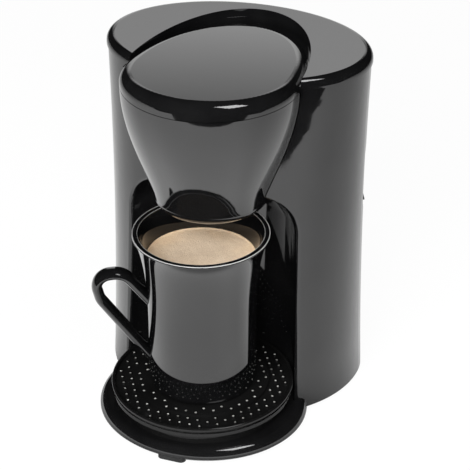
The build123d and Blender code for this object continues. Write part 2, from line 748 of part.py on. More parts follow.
def disc(low):
    """The lid's sloping disc: round in front, drawn out behind, with a round edge."""
    front = rounded_disc(HEAD_R, low, SEAM_Z + DISC_RISE, DISC_EDGE)
    behind = block((-DEPTH, 0, 0), (DEPTH, DEPTH, 2 * SEAM_Z))
    form = (front - behind) + (scale(front, by=(1, DISC_BACK / HEAD_R, 1)) & behind)
    fall = Matrix([[1, 0, 0, 0], [0, 1, 0, 0], [0, -tan(radians(DISC_SLOPE)), 1, 0], [0, 0, 0, 1]])
    return Pos(0, HEAD_Y, 0) * form.transform_geometry(fall)


def lid_outside():
    """Crescent, disc and the scoop between them as one solid."""
    start = SEAM_Z + LID_GAP
    high = SEAM_Z + LID_OPEN_SPACE
    low = SEAM_Z - LID_OPEN_SPACE
    crescent = rounded_disc(OVAL_HALF_W, start, SEAM_Z + CRESCENT_H, LID_EDGE)
    crescent = Pos(0, BODY_Y, 0) * scale(crescent, by=(1, OVAL_HALF_D / OVAL_HALF_W, 1))
    scoop = egg(0, SCOOP_BACK, low, high) & above_disc(SCOOP_DEEP)
    floor = egg(LID_WALL, SCOOP_BACK, low, start + LID_GAP) & above_disc(SCOOP_DEEP + LID_WALL)
    under = block((-DEPTH, -DEPTH, 0), (DEPTH, DEPTH, start)) - above_disc(SCOOP_DEEP + LID_WALL)
    return ((crescent + floor) - scoop) + (disc(low) - under)


def lid_inside():
    """Space under the lid's skin."""
    low = SEAM_Z - LID_OPEN_SPACE
    high = SEAM_Z + LID_OPEN_SPACE
    space = oval(LID_WALL, OVAL_HALF_D, low, SEAM_Z + CRESCENT_H - LID_WALL)
    space -= egg(LID_WALL, SCOOP_BACK, low, high)
    space += egg(-LID_WALL, DISC_BACK - LID_WALL, low, high) - above_disc(LID_WALL)
    return space + rod(HEAD_R + LID_GAP, 0, HEAD_Y, low, SEAM_Z + LID_GAP)


def lid():
    """Hollow lid over head and tank, with a hinge knuckle at the back."""
    notch_half = KNUCKLE_HALF + EAR_W + 4 * FIT_GAP
    shell = lid_outside() - lid_inside()
    shell -= block(
        (-notch_half, HINGE_Y - NOTCH_FRONT, SEAM_Z), (notch_half, DEPTH, HINGE_Z + NOTCH_UP)
    )
    barrel = Pos(0, HINGE_Y, HINGE_Z) * ALONG_X * Cylinder(KNUCKLE_R, 2 * KNUCKLE_HALF)
    web = block(
        (-KNUCKLE_HALF, HINGE_Y - NOTCH_FRONT, HINGE_Z),
        (KNUCKLE_HALF, HINGE_Y - KNUCKLE_R / 4, HINGE_Z + NOTCH_UP + FIT_GAP),
    )
    shell += barrel + web
    return shell - Pos(0, HINGE_Y, HINGE_Z) * ALONG_X * Cylinder(PIN_R + RUN_GAP, 4 * KNUCKLE_HALF)


def hinge_pin():
    """Steel pin through both ears and the knuckle."""
    length = 2 * (KNUCKLE_HALF + FIT_GAP + EAR_W)
    return Pos(0, HINGE_Y, HINGE_Z) * ALONG_X * Cylinder(PIN_R, length)


# Drip tray and mug

def nub_places():
    """Hexagonal grid of places in the ring between platform and lip."""
    row_step = NUB_PITCH * sqrt(3) / 2
    inner = PLATFORM_R + NUB_R + FIT_GAP
    outer = TRAY_R - TRAY_LIP_W - NUB_R - FIT_GAP
    rows = int(TRAY_R / row_step)
    columns = int(TRAY_R / NUB_PITCH) + 1
    places = []
    for row in range(-rows, rows + 1):
        for column_step in range(-columns, columns + 1):
            x = (column_step + (row % 2) / 2) * NUB_PITCH
            y = row * row_step
            if inner <= sqrt(x * x + y * y) <= outer:
                places.append((x, BAY_Y + y))
    return places


def drip_tray():
    """Round tray with a thin lip, a field of nubs and a plain platform for the cup."""
    foot_r = TRAY_R - TRAY_FOOT_IN
    lip_in = TRAY_R - TRAY_LIP_W
    outline = Polyline(
        (0, PLATFORM_Z),
        (PLATFORM_R, PLATFORM_Z),
        (PLATFORM_R, TRAY_PLATE_Z),
        (lip_in, TRAY_PLATE_Z),
        (lip_in, TRAY_LIP_Z),
        (TRAY_R, TRAY_LIP_Z),
        (TRAY_R, TRAY_SKIRT_Z),
        (foot_r, TRAY_SKIRT_Z),
        (foot_r, PLINTH_TOP),
        (foot_r - TRAY_WALL, PLINTH_TOP),
        (foot_r - TRAY_WALL, TRAY_PLATE_Z - TRAY_WALL),
        (0, TRAY_PLATE_Z - TRAY_WALL),
        close=True,
    )
    tray = turned(outline, BAY_Y)
    nub = loft([RegularPolygon(NUB_R, NUB_SIDES), Vertex(0, 0, NUB_H)], ruled=True)
    return tray + [Pos(x, y, TRAY_PLATE_Z) * nub for x, y in nub_places()]


def mug_side(inset, low):
    """Side of the mug, drawn in by a wall: a straight belly that flares to the rim."""
    rim_z = PLATFORM_Z + MUG_H
    return Spline(
        (MUG_LOW_R - inset, low),
        (MUG_BELLY_R - inset, rim_z - MUG_FLARE),
        (MUG_RIM_R - inset, rim_z),
        tangents=((0.05, 1), (0.5, 1)),
    )


def mug_outside():
    """The mug as a solid, without its handle."""
    low = PLATFORM_Z + MUG_ROUND
    rim_z = PLATFORM_Z + MUG_H
    outline = (
        Line((0, PLATFORM_Z), (MUG_BASE_R, PLATFORM_Z))
        + Bezier((MUG_BASE_R, PLATFORM_Z), (MUG_LOW_R - MUG_WALL / 4, PLATFORM_Z), (MUG_LOW_R, low))
        + mug_side(0, low)
        + Line((MUG_RIM_R, rim_z), (0, rim_z))
        + Line((0, rim_z), (0, PLATFORM_Z))
    )
    return turned(outline, BAY_Y)


def mug_inside():
    """The space in the mug."""
    floor = PLATFORM_Z + MUG_FLOOR
    low = floor + MUG_INNER_ROUND
    rim_z = PLATFORM_Z + MUG_H
    inner = MUG_LOW_R - MUG_WALL
    outline = (
        Line((0, floor), (inner - MUG_INNER_ROUND, floor))
        + Bezier((inner - MUG_INNER_ROUND, floor), (inner, floor), (inner, low))
        + mug_side(MUG_WALL, low)
        + Line((MUG_RIM_R - MUG_WALL, rim_z), (0, rim_z))
        + Line((0, rim_z), (0, floor))
    )
    return turned(outline, BAY_Y)


def mug_handle():
    """Ear-shaped handle: an arched top, a tight turn and a straight run back to the wall."""
    root = MUG_LOW_R - MUG_WALL / 2
    corner = HANDLE_REACH - HANDLE_T / 2
    crest = (root + corner) / 2
    route = FilletPolyline(
        (root, 0, HANDLE_ROOT_TOP),
        (crest, 0, HANDLE_TOP),
        (corner + HANDLE_T / 3, 0, HANDLE_TOP - HANDLE_T / 4),
        (corner - HANDLE_T / 4, 0, HANDLE_ELBOW),
        (root, 0, HANDLE_ROOT_LOW),
        radius=(HANDLE_W, HANDLE_W * 0.75, HANDLE_W),
    )
    start = Plane(origin=route @ 0, z_dir=route % 0, x_dir=(0, 1, 0))
    ear = sweep(start * Ellipse(HANDLE_W / 2, HANDLE_T / 2), path=route)
    return Pos(0, BAY_Y, PLATFORM_Z) * Rot(0, 0, HANDLE_TURN) * ear


def mug():
    """Flared mug with its handle, on a narrow foot ring."""
    body = mug_outside() + mug_handle() - mug_inside()
    dish = rod(MUG_BASE_R - MUG_FOOT_W, 0, BAY_Y, PLATFORM_Z, PLATFORM_Z + MUG_FOOT_H)
    body -= dish
    rim = body.faces().sort_by(Axis.Z)[-1]
    return chamfer(rim.edges(), MUG_WALL / 4)


PARTS = (
    main_housing, cup_bay, plinth, base_plate, base_screws, feet, cord_gland,
    filter_head, filter_basket, filter_frame, filter_mesh,
    water_tank, riser_pipe, water_spout, boiler, heater_ends, boiler_bracket, bracket_screws,
    thermostat, inlet_hose, riser_hose, hose_clamps,
    switch_frame, rocker, lid, hinge_pin, drip_tray, mug,
)

os.makedirs("parts", exist_ok=True)
for make in PARTS:
    export_step(make(), "parts/" + make.__name__ + ".step")
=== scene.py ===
"""One-cup drip coffee maker in glossy black, with coffee in its mug, on a white studio floor."""
import json
from math import cos, hypot, pi, radians, sin, sqrt

import bmesh
import bpy
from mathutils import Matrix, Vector


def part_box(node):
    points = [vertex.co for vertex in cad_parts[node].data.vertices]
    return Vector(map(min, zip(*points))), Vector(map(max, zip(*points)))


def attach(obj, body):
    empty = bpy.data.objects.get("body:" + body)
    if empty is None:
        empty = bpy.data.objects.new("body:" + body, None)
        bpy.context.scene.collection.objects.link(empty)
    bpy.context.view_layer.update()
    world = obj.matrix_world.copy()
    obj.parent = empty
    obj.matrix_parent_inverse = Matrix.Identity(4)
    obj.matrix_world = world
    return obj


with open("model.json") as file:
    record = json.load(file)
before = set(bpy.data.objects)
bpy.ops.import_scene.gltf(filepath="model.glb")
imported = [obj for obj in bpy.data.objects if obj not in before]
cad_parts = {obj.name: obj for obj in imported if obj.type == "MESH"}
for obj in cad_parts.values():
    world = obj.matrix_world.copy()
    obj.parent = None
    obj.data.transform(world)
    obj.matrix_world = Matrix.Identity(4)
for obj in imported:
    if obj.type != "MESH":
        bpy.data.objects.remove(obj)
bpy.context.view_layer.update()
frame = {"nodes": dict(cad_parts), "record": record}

NODES = frame["nodes"]

# Camera, in metres and degrees, with its sensor and lens in millimetres
VIEW_AZIMUTH = 19.17
VIEW_ELEVATION = 30.27
VIEW_DISTANCE = 1.0015
VIEW_TARGET = (0.01836, -0.02562, 0.12173)
SENSOR = 36.0
LENS = 133.6

# White sheet under the object, in metres, and the shade painted on its glow in reflections
SHEET_MIDDLE = (0.0, -0.03)
SHEET_FRONT = 0.39             # how far it reaches in front
SHEET_CURVE = 0.26             # how much further where its front edge curves back
SHEET_SIDE = 2.4               # how much further still at the sides and behind
SHEET_TURN = 0.6               # cosine of the turn from the front past which it does so
SHEET_BRIGHT = 0.92            # shade in front of the object
SHEET_GREY = 0.59              # shade behind the object
SHEET_AHEAD = (0.1, 0.7)       # cosines of the turn from the front, from grey to bright
SHEET_FAR = 0.45               # part of the shade that is left far away
SHEET_FAR_SPAN = (0.2, 1.2)
SHEET_NEAR_SHADOW = 0.5               # part that is left close to the object, a painted shadow
SHEET_NEAR_SHADOW_SPAN = (0.07, 0.12)
SHEET_PLINTH_SHADOW = 0.1             # part that is left right beside the plinth, a painted shadow
SHEET_PLINTH_SHADOW_SPAN = (0.068, 0.09)
PAPER = 0.9                    # colour of the sheet where lamps light it
GLOW_SEEN = 0.95               # part of the sheet's own glow to the camera, the rest being lit paper
GLOW_MIRRORED = 0.7            # the same in reflections

# Dark room with a pale screen behind the object, in degrees
ROOM_GLOW = 0.01               # part of the screen's glow that the rest of the room has
SCREEN_AZIMUTH = -19.0         # from straight behind, towards +X
SCREEN_INNER = 5.0             # to each side of its middle, where it starts to fade
SCREEN_OUTER = 19.0
SCREEN_STEPS = (               # elevation and glow
    (10.0, 0.8), (16.3, 0.9), (19.6, 0.36), (20.6, 0.36), (22.6, 0.8), (25.0, 0.95), (30.0, 0.01),
)

# Lamps: name, azimuth, elevation, distance, size, power, and whether reflections show them
LAMPS = (
    ("key", 70, 66, 1.6, 0.6, 7, True),
    ("fill", 5, 27, 1.6, 1.2, 62, False),
    ("top", 0, 80, 1.8, 1.2, 8, False),
)

# Coffee, in metres
COFFEE_LEVEL = 0.108
COFFEE_SINK = 0.03             # depth of coffee that is modelled
COFFEE_GAP = 0.0001            # to the mug's wall
COFFEE_CLIMB = 0.0006          # rise where it wets the wall
COFFEE_RINGS = (0.3, 0.6, 0.85, 0.94)  # level part of its surface, as parts of the radius
COFFEE_BEND = (0.985, 0.3)     # parts of the radius and of the rise where it bends up

# Mug's rim, in metres
RIM_HALF_W = 0.0017
RIM_BEAD = 0.0014              # height of the rounded bead
RIM_SET = 0.75                 # part of the bead that is below the mug's own rim
RIM_WALL = 0.003
RIM_HIGHLIGHT_LINES = ((1, 0.00028), (-1, 0.00012))  # side, outward or inward, and thickness of each pale line painted as a highlight
RIM_HIGHLIGHT_OUT = 0.8             # place of the painted highlight lines, as parts of the bead's half width and height
RIM_HIGHLIGHT_UP = 0.6

# Tray's lip, in metres, with its outline in parts of these sizes
LIP_OUT = 0.0005               # how far it stands out over the skirt
LIP_UP = 0.0005
LIP_IN = 0.0016
LIP_LOW = 0.0032
LIP_INNER = ((1.0, -0.3), (0.75, 0.7), (0.4, 1.0), (0.0, 0.6))  # inward and up
LIP_OUTER = ((0.8, -0.1), (1.0, -1.2))                          # outward and up
LIP_FOOT = (0.02, -0.3)                                         # outward, at its lower edge
LIP_NEAR = 0.0003              # how close to the tray's edge its points are felt for

# Tray's nubs, in metres
NUB_TOP = 0.0232               # height of their tips
NUB_R = 0.00125
NUB_H = 0.00145
NUB_PROUD = NUB_H / 50         # how far the round nubs cover the tips of the faceted ones
NUB_NEAR = NUB_H / 20          # how close to that height a tip is felt for
NUB_HIGHLIGHT_SHARE = 0.22                # part of their height at the tip that is painted pale as a highlight
NUB_PITCH = 0.0061
NUB_SIDES = 12
PIMPLE_R = 0.001               # low pimples that carry the field on over the platform's edge
PIMPLE_H = 0.0006
PIMPLE_SINK = 0.0001           # how deep their feet are set in
PIMPLE_INNER = 0.0335          # from the tray's axis, clear of the mug's foot
PIMPLE_OUTER = 0.0388

# Marks on the rocker, in metres
MARK_R = 0.0018
MARK_LINE = 0.0003
MARK_RING_AT = 0.25            # parts of the rocker's height where the two marks are
MARK_LINE_AT = 0.75
MARK_RING_STEPS = 32
MARK_LINE_STEPS = 8
MARK_START = 0.02              # how far outside the switch's frame their places are felt from

ROUND_STEPS = 128

# Materials: noise in cells per metre, relief in metres
MOTTLE = 35
POLISH = 90
COAT_ROUGH = 0.03
STREAKS = 900
STREAK_POLISH = 120
STREAK_DEPTH = 0.00002
WEAVE = 380
WEAVE_DEPTH = 0.0002
STAINS = 60
HOSE_MOTTLE = 80
HOSE_POLISH = 150
HOSE_SKIN = 500
HOSE_DEPTH = 0.00002
FOAM_PALE = 130
FOAM_WARM = 260
FOAM_PATCHES = 70
FOAM_SPECKS = 900
FOAM_EDGE = (0.45, 0.98)       # parts of the coffee's radius between which the foam turns warm
BUBBLES = 1400
BUBBLE_DEPTH = 0.0002
GLAZE_INSIDE = -0.005          # distance from the mug's axis along a face's normal, below which it is thin
NUB_MOTTLE = 90
# noise in the nubs' painted tip highlight
NUB_HIGHLIGHT_GRAIN = 120
NUB_POLISH = 300


# Node helpers

def new_material(name):
    """Material with an empty node tree, its principled shader and its output."""
    material = bpy.data.materials.new(name)
    material.use_nodes = True
    tree = material.node_tree
    tree.nodes.clear()
    shader = tree.nodes.new("ShaderNodeBsdfPrincipled")
    output = tree.nodes.new("ShaderNodeOutputMaterial")
    tree.links.new(shader.outputs["BSDF"], output.inputs["Surface"])
    return material, tree, shader


def object_place(tree, stretch=(1, 1, 1)):
    """Object coordinates, stretched along each axis."""
    place = tree.nodes.new("ShaderNodeTexCoord")
    mapping = tree.nodes.new("ShaderNodeMapping")
    mapping.inputs["Scale"].default_value = stretch
    tree.links.new(place.outputs["Object"], mapping.inputs["Vector"])
    return mapping.outputs["Vector"]


def noise(tree, scale, detail=2.0, roughness=0.5, stretch=(1, 1, 1)):
    """Noise in object coordinates; the scale is in cells per metre."""
    texture = tree.nodes.new("ShaderNodeTexNoise")
    texture.inputs["Scale"].default_value = scale
    texture.inputs["Detail"].default_value = detail
    texture.inputs["Roughness"].default_value = roughness
    tree.links.new(object_place(tree, stretch), texture.inputs["Vector"])
    return texture.outputs["Fac"]


def ramp(tree, value, low, high, start=0.3, end=0.7):
    """Colour that runs from low to high as a value goes from start to end."""
    node = tree.nodes.new("ShaderNodeValToRGB")
    node.color_ramp.elements[0].position = start
    node.color_ramp.elements[0].color = (*low, 1)
    node.color_ramp.elements[1].position = end
    node.color_ramp.elements[1].color = (*high, 1)
    tree.links.new(value, node.inputs["Fac"])
    return node.outputs["Color"]


def span(tree, value, low, high, start=0.0, end=1.0, smooth=False):
    """Value from start..end mapped to low..high and kept there."""
    node = tree.nodes.new("ShaderNodeMapRange")
    node.interpolation_type = "SMOOTHSTEP" if smooth else "LINEAR"
    node.inputs["From Min"].default_value = start
    node.inputs["From Max"].default_value = end
    node.inputs["To Min"].default_value = low
    node.inputs["To Max"].default_value = high
    tree.links.new(value, node.inputs["Value"])
    return node.outputs["Result"]


def combine(tree, operation, first, second):
    """Math node on two sockets."""
    node = tree.nodes.new("ShaderNodeMath")
    node.operation = operation
    tree.links.new(first, node.inputs[0])
    tree.links.new(second, node.inputs[1])
    return node.outputs["Value"]


def vector_node(tree, operation, vector, other=None):
    """Vector node on a socket, with a fixed second vector where it takes two."""
    node = tree.nodes.new("ShaderNodeVectorMath")
    node.operation = operation
    tree.links.new(vector, node.inputs[0])
    if other is not None:
        node.inputs[1].default_value = other
    return node


def vector_value(tree, operation, vector, other=None):
    """Value that a vector node gives."""
    return vector_node(tree, operation, vector, other).outputs["Value"]


def mix_colour(tree, factor, first, second):
    """Blend of two colour sockets."""
    node = tree.nodes.new("ShaderNodeMix")
    node.data_type = "RGBA"
    tree.links.new(factor, node.inputs["Factor"])
    tree.links.new(first, node.inputs["A"])
    tree.links.new(second, node.inputs["B"])
    return node.outputs["Result"]


def mix_shader(tree, factor, first, second, output):
    """Blend of two shader sockets, taken to the output."""
    node = tree.nodes.new("ShaderNodeMixShader")
    tree.links.new(factor, node.inputs["Fac"])
    tree.links.new(first, node.inputs[1])
    tree.links.new(second, node.inputs[2])
    tree.links.new(node.outputs["Shader"], output.inputs["Surface"])


def bump(tree, shader, height, depth):
    """Surface relief of a height field, with its depth in metres."""
    node = tree.nodes.new("ShaderNodeBump")
    node.inputs["Distance"].default_value = depth
    tree.links.new(height, node.inputs["Height"])
    tree.links.new(node.outputs["Normal"], shader.inputs["Normal"])


# Materials

def tray_axis():
    """Upright axis of tray and mug."""
    low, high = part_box("drip_tray")
    return (low[0] + high[0]) / 2, (low[1] + high[1]) / 2


def plastic(name, dark, light, rough, grain, depth, lacquer=0.0):
    """Moulded plastic, glaze or rubber: faint mottling, uneven polish and a fine skin, lacquered or not."""
    material, tree, shader = new_material(name)
    shader.inputs["Coat Weight"].default_value = lacquer
    shader.inputs["Coat Roughness"].default_value = COAT_ROUGH
    tree.links.new(ramp(tree, noise(tree, MOTTLE, 4), dark, light), shader.inputs["Base Color"])
    tree.links.new(span(tree, noise(tree, POLISH, 3), *rough), shader.inputs["Roughness"])
    bump(tree, shader, noise(tree, grain, 2), depth)
    return material


def metal(name, dark, light, rough, stretch):
    """Bare metal with drawn or rolled streaks along the axis with the least stretch."""
    material, tree, shader = new_material(name)
    shader.inputs["Metallic"].default_value = 1.0
    streaks = noise(tree, STREAKS, 4, 0.6, stretch)
    tree.links.new(ramp(tree, streaks, dark, light), shader.inputs["Base Color"])
    tree.links.new(span(tree, noise(tree, STREAK_POLISH, 3), *rough), shader.inputs["Roughness"])
    bump(tree, shader, streaks, STREAK_DEPTH)
    return material


def gauze():
    """Nylon gauze: a fine square weave, darker in its holes, with coffee stains."""
    material, tree, shader = new_material("filter_mesh")
    shader.inputs["Roughness"].default_value = 0.6
    threads = []
    for direction in ("X", "Z"):
        wave = tree.nodes.new("ShaderNodeTexWave")
        wave.bands_direction = direction
        wave.inputs["Scale"].default_value = WEAVE
        tree.links.new(object_place(tree), wave.inputs["Vector"])
        threads.append(wave.outputs["Fac"])
    weave = combine(tree, "MAXIMUM", *threads)
    thread = ramp(tree, noise(tree, STAINS, 3), (0.36, 0.27, 0.16), (0.52, 0.44, 0.32))
    hole = ramp(tree, noise(tree, STAINS, 3), (0.05, 0.035, 0.02), (0.1, 0.08, 0.05))
    tree.links.new(mix_colour(tree, weave, hole, thread), shader.inputs["Base Color"])
    bump(tree, shader, weave, WEAVE_DEPTH)
    return material


def silicone():
    """Milky hose."""
    material, tree, shader = new_material("silicone")
    shader.inputs["Subsurface Weight"].default_value = 0.3
    shader.inputs["Subsurface Scale"].default_value = 0.002
    milky = ramp(tree, noise(tree, HOSE_MOTTLE, 3), (0.6, 0.58, 0.53), (0.74, 0.72, 0.68))
    tree.links.new(milky, shader.inputs["Base Color"])
    tree.links.new(span(tree, noise(tree, HOSE_POLISH, 2), 0.35, 0.5), shader.inputs["Roughness"])
    bump(tree, shader, noise(tree, HOSE_SKIN, 2), HOSE_DEPTH)
    return material


def crema(radius):
    """Foam on coffee: pale tan, more orange in patches towards the wall, with fine bubbles and specks."""
    material, tree, shader = new_material("coffee")
    shader.inputs["Roughness"].default_value = 0.38
    pale = ramp(tree, noise(tree, FOAM_PALE, 6, 0.7), (0.74, 0.565, 0.40), (0.92, 0.745, 0.565))
    warm = ramp(tree, noise(tree, FOAM_WARM, 5, 0.7), (0.78, 0.53, 0.31), (0.96, 0.73, 0.49))
    place = object_place(tree)
    start, end = (share * radius for share in FOAM_EDGE)
    edge = span(tree, vector_value(tree, "LENGTH", place), 0.1, 1.0, start, end, smooth=True)
    patches = span(tree, noise(tree, FOAM_PATCHES, 4), 0.35, 1.0, 0.35, 0.6)
    foam = mix_colour(tree, combine(tree, "MULTIPLY", edge, patches), pale, warm)
    bubbles = tree.nodes.new("ShaderNodeTexVoronoi")
    bubbles.inputs["Scale"].default_value = BUBBLES
    tree.links.new(place, bubbles.inputs["Vector"])
    specks = span(tree, noise(tree, FOAM_SPECKS, 2, 0.8), 0.0, 0.7, 0.66, 0.74)
    brown = ramp(tree, bubbles.outputs["Distance"], (0.30, 0.14, 0.06), (0.42, 0.22, 0.10))
    tree.links.new(mix_colour(tree, specks, foam, brown), shader.inputs["Base Color"])
    bump(tree, shader, bubbles.outputs["Distance"], BUBBLE_DEPTH)
    return material


def mug_glaze():
    """Black glaze, thinner inside the mug than outside."""
    black = ((0.002, 0.002, 0.0022), (0.004, 0.004, 0.0042))
    material = plastic("black_glaze", *black, rough=(0.015, 0.035), grain=90, depth=0.000005)
    tree = material.node_tree
    shader = next(node for node in tree.nodes if node.bl_idname == "ShaderNodeBsdfPrincipled")
    from_axis = vector_node(tree, "SUBTRACT", object_place(tree, (1, 1, 0)), (*tray_axis(), 0))
    facing = vector_node(tree, "DOT_PRODUCT", from_axis.outputs["Vector"])
    place = tree.nodes.new("ShaderNodeTexCoord")
    tree.links.new(place.outputs["Normal"], facing.inputs[1])
    thick = span(tree, facing.outputs["Value"], 0, 1, GLAZE_INSIDE, 0.0)
    tree.links.new(thick, shader.inputs["Coat Weight"])
    return material


def nub_plastic():
    """Plastic of the tray's nubs, painted pale at the tips as a highlight."""
    material, tree, shader = new_material("tray_nub")
    split = tree.nodes.new("ShaderNodeSeparateXYZ")
    tree.links.new(object_place(tree), split.inputs["Vector"])
    # Pale tips are a painted highlight, blended in by height.
    tip_highlight = span(tree, split.outputs["Z"], 0, 1, NUB_TOP - NUB_HIGHLIGHT_SHARE * NUB_H, NUB_TOP, smooth=True)
    black = ramp(tree, noise(tree, NUB_MOTTLE, 3), (0.003, 0.003, 0.003), (0.006, 0.006, 0.006))
    pale = ramp(tree, noise(tree, NUB_HIGHLIGHT_GRAIN, 2), (0.15, 0.15, 0.14), (0.42, 0.42, 0.4), 0.35, 0.6)
    tree.links.new(mix_colour(tree, tip_highlight, black, pale), shader.inputs["Base Color"])
    tree.links.new(span(tree, noise(tree, NUB_POLISH, 2), 0.15, 0.3), shader.inputs["Roughness"])
    return material


GLOSS = plastic(
    "black_gloss", (0.003, 0.003, 0.0032), (0.006, 0.006, 0.0062),
    rough=(0.03, 0.06), grain=160, depth=0.000004, lacquer=1.0,
)
TRAY = plastic(
    "black_tray", (0.003, 0.003, 0.003), (0.006, 0.006, 0.006), rough=(0.06, 0.1), grain=700, depth=0.00001,
)
GLAZE = mug_glaze()
# Pale plastic: real raised marks on the rocker, and painted highlight lines on the mug's rim
PALE_MARK_AND_HIGHLIGHT = plastic(
    "pale_marks_and_rim_highlights", (0.28, 0.28, 0.28), (0.4, 0.4, 0.39), rough=(0.2, 0.35), grain=900, depth=0.00001,
)
PAINT = {
    "black_gloss": GLOSS,
    "black_tray": TRAY,
    "black_glaze": GLAZE,
    "black_matte": plastic(
        "black_matte", (0.008, 0.008, 0.008), (0.014, 0.014, 0.014),
        rough=(0.38, 0.5), grain=1500, depth=0.00003,
    ),
    "filter_frame": plastic(
        "filter_frame", (0.05, 0.042, 0.035), (0.09, 0.08, 0.07),
        rough=(0.4, 0.55), grain=1200, depth=0.00003,
    ),
    "filter_mesh": gauze(),
    "tank_pipe": plastic(
        "tank_pipe", (0.62, 0.6, 0.55), (0.76, 0.75, 0.71), rough=(0.3, 0.45), grain=800, depth=0.00002,
    ),
    "aluminium": metal(
        "aluminium", (0.62, 0.62, 0.62), (0.82, 0.82, 0.82), rough=(0.28, 0.42), stretch=(1, 1, 0.05),
    ),
    "steel": metal("steel", (0.5, 0.5, 0.5), (0.66, 0.66, 0.65), rough=(0.2, 0.35), stretch=(0.05, 1, 1)),
    "silicone": silicone(),
    "rubber": plastic(
        "rubber", (0.012, 0.012, 0.012), (0.022, 0.022, 0.022),
        rough=(0.65, 0.8), grain=1800, depth=0.00005,
    ),
}


def paint_frame():
    """Give each CAD node the material of its record slot."""
    for part in frame["record"]["subparts"]:
        mesh = NODES[part["node"]].data
        mesh.materials.clear()
        mesh.materials.append(PAINT[part["material_slot"]])


# Outlines of radius and height

def bead(radius, half_w, height, steps=12):
    """Bead with a round top on a rim, closed by a flat below."""
    angles = [pi * step / steps for step in range(steps + 1)]
    return [(radius + half_w * cos(angle), height * sin(angle)) for angle in angles]


def circle(radius, height, thick, steps=10):
    """Round wire laid along a circle."""
    angles = [2 * pi * step / steps for step in range(steps)]
    return [(radius + thick * cos(angle), height + thick * sin(angle)) for angle in angles]


def dome(radius, height, steps=4):
    """Round nub from its foot to its tip."""
    angles = [pi / 2 * step / steps for step in range(steps)]
    return [(radius * cos(angle), height * sin(angle)) for angle in angles] + [(0, height)]


# Pieces

def add_piece(name, work, material, body, at=(0, 0, 0)):
    """Smooth piece from a bmesh that rides on a body."""
    bmesh.ops.recalc_face_normals(work, faces=work.faces)
    mesh = bpy.data.meshes.new(name)
    work.to_mesh(mesh)
    work.free()
    mesh.shade_smooth()
    mesh.materials.append(material)
    piece = bpy.data.objects.new(name, mesh)
    bpy.context.scene.collection.objects.link(piece)
    piece.location = at
    bpy.context.view_layer.update()
    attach(piece, body)


def turn(work, profile, steps, closed=False, at=(0, 0, 0)):
    """Faces of a profile of radius and height turned about an upright axis."""
    angles = [2 * pi * step / steps for step in range(steps)]
    rings = []
    for radius, height in profile:
        z = at[2] + height
        if radius == 0:
            rings.append([work.verts.new((at[0], at[1], z))])
            continue
        places = [(at[0] + radius * cos(angle), at[1] + radius * sin(angle), z) for angle in angles]
        rings.append([work.verts.new(place) for place in places])
    pairs = list(zip(rings, rings[1:]))
    if closed:
        pairs.append((rings[-1], rings[0]))
    for first, second in pairs:
        for step in range(steps):
            after = (step + 1) % steps
            corners = [first[step % len(first)], first[after % len(first)]]
            corners += [second[after % len(second)], second[step % len(second)]]
            work.faces.new(list(dict.fromkeys(corners)))


def mug_bore(height):
    """Radius of the mug's inside at a height, felt out with a ray away from its handle."""
    x, y = tray_axis()
    place = NODES["mug"].ray_cast(Vector((x, y, height)), Vector((1, 0, 0)))[1]
    return place.x - x


def coffee():
    """Coffee with foam on it, wetting the mug's wall."""
    x, y = tray_axis()
    radius = mug_bore(COFFEE_LEVEL) - COFFEE_GAP
    low_radius = mug_bore(COFFEE_LEVEL - COFFEE_SINK) - COFFEE_GAP
    profile = [(0, 0)]
    profile += [(radius * share, 0) for share in COFFEE_RINGS]
    profile += [(radius * COFFEE_BEND[0], COFFEE_CLIMB * COFFEE_BEND[1]), (radius, COFFEE_CLIMB)]
    profile += [(low_radius, -COFFEE_SINK), (0, -COFFEE_SINK)]
    work = bmesh.new()
    turn(work, profile, ROUND_STEPS)
    add_piece("coffee", work, crema(radius), "mug", at=(x, y, COFFEE_LEVEL))


def mug_rim():
    """Rounded glazed rim with a thin pale line painted along each edge as a highlight."""
    x, y = tray_axis()
    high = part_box("mug")[1]
    middle = high[0] - x - RIM_WALL / 2
    base = (x, y, high[2] - RIM_BEAD * RIM_SET)
    work = bmesh.new()
    turn(work, bead(middle, RIM_HALF_W, RIM_BEAD), ROUND_STEPS, True)
    add_piece("mug_rim", work, GLAZE, "mug", base)
    # The pale lines along the rim are painted highlights.
    work = bmesh.new()
    for side, thick in RIM_HIGHLIGHT_LINES:
        highlight_radius = middle + side * RIM_HIGHLIGHT_OUT * RIM_HALF_W
        turn(work, circle(highlight_radius, RIM_BEAD * RIM_HIGHLIGHT_UP, thick), ROUND_STEPS, True)
    add_piece("mug_rim_painted_highlights", work, PALE_MARK_AND_HIGHLIGHT, "mug", at=base)


def tray_lip():
    """Rounded lip that stands out over the tray's skirt."""
    x, y = tray_axis()
    low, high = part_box("drip_tray")
    outer = (high[0] - low[0]) / 2
    points = [vert.co for vert in NODES["drip_tray"].data.vertices]
    lip = max(point.z for point in points if hypot(point.x - x, point.y - y) > outer - LIP_NEAR)
    profile = [(outer - inward * LIP_IN, lip + up * LIP_UP) for inward, up in LIP_INNER]
    profile += [(outer + outward * LIP_OUT, lip + up * LIP_UP) for outward, up in LIP_OUTER]
    profile += [(outer + outward * LIP_OUT, lip - LIP_LOW) for outward in LIP_FOOT]
    work = bmesh.new()
    turn(work, profile, ROUND_STEPS, True, (x, y, 0))
    add_piece("tray_lip", work, TRAY, "tray")


def tray_nubs(material):
    """Round nubs over the faceted ones of the tray."""
    points = [vert.co for vert in NODES["drip_tray"].data.vertices]
    tips = {(round(point.x, 5), round(point.y, 5)) for point in points if abs(point.z - NUB_TOP) < NUB_NEAR}
    work = bmesh.new()
    for x, y in sorted(tips):
        turn(work, dome(NUB_R, NUB_H), NUB_SIDES, at=(x, y, NUB_TOP + NUB_PROUD - NUB_H))
    add_piece("tray_nubs", work, material, "tray")


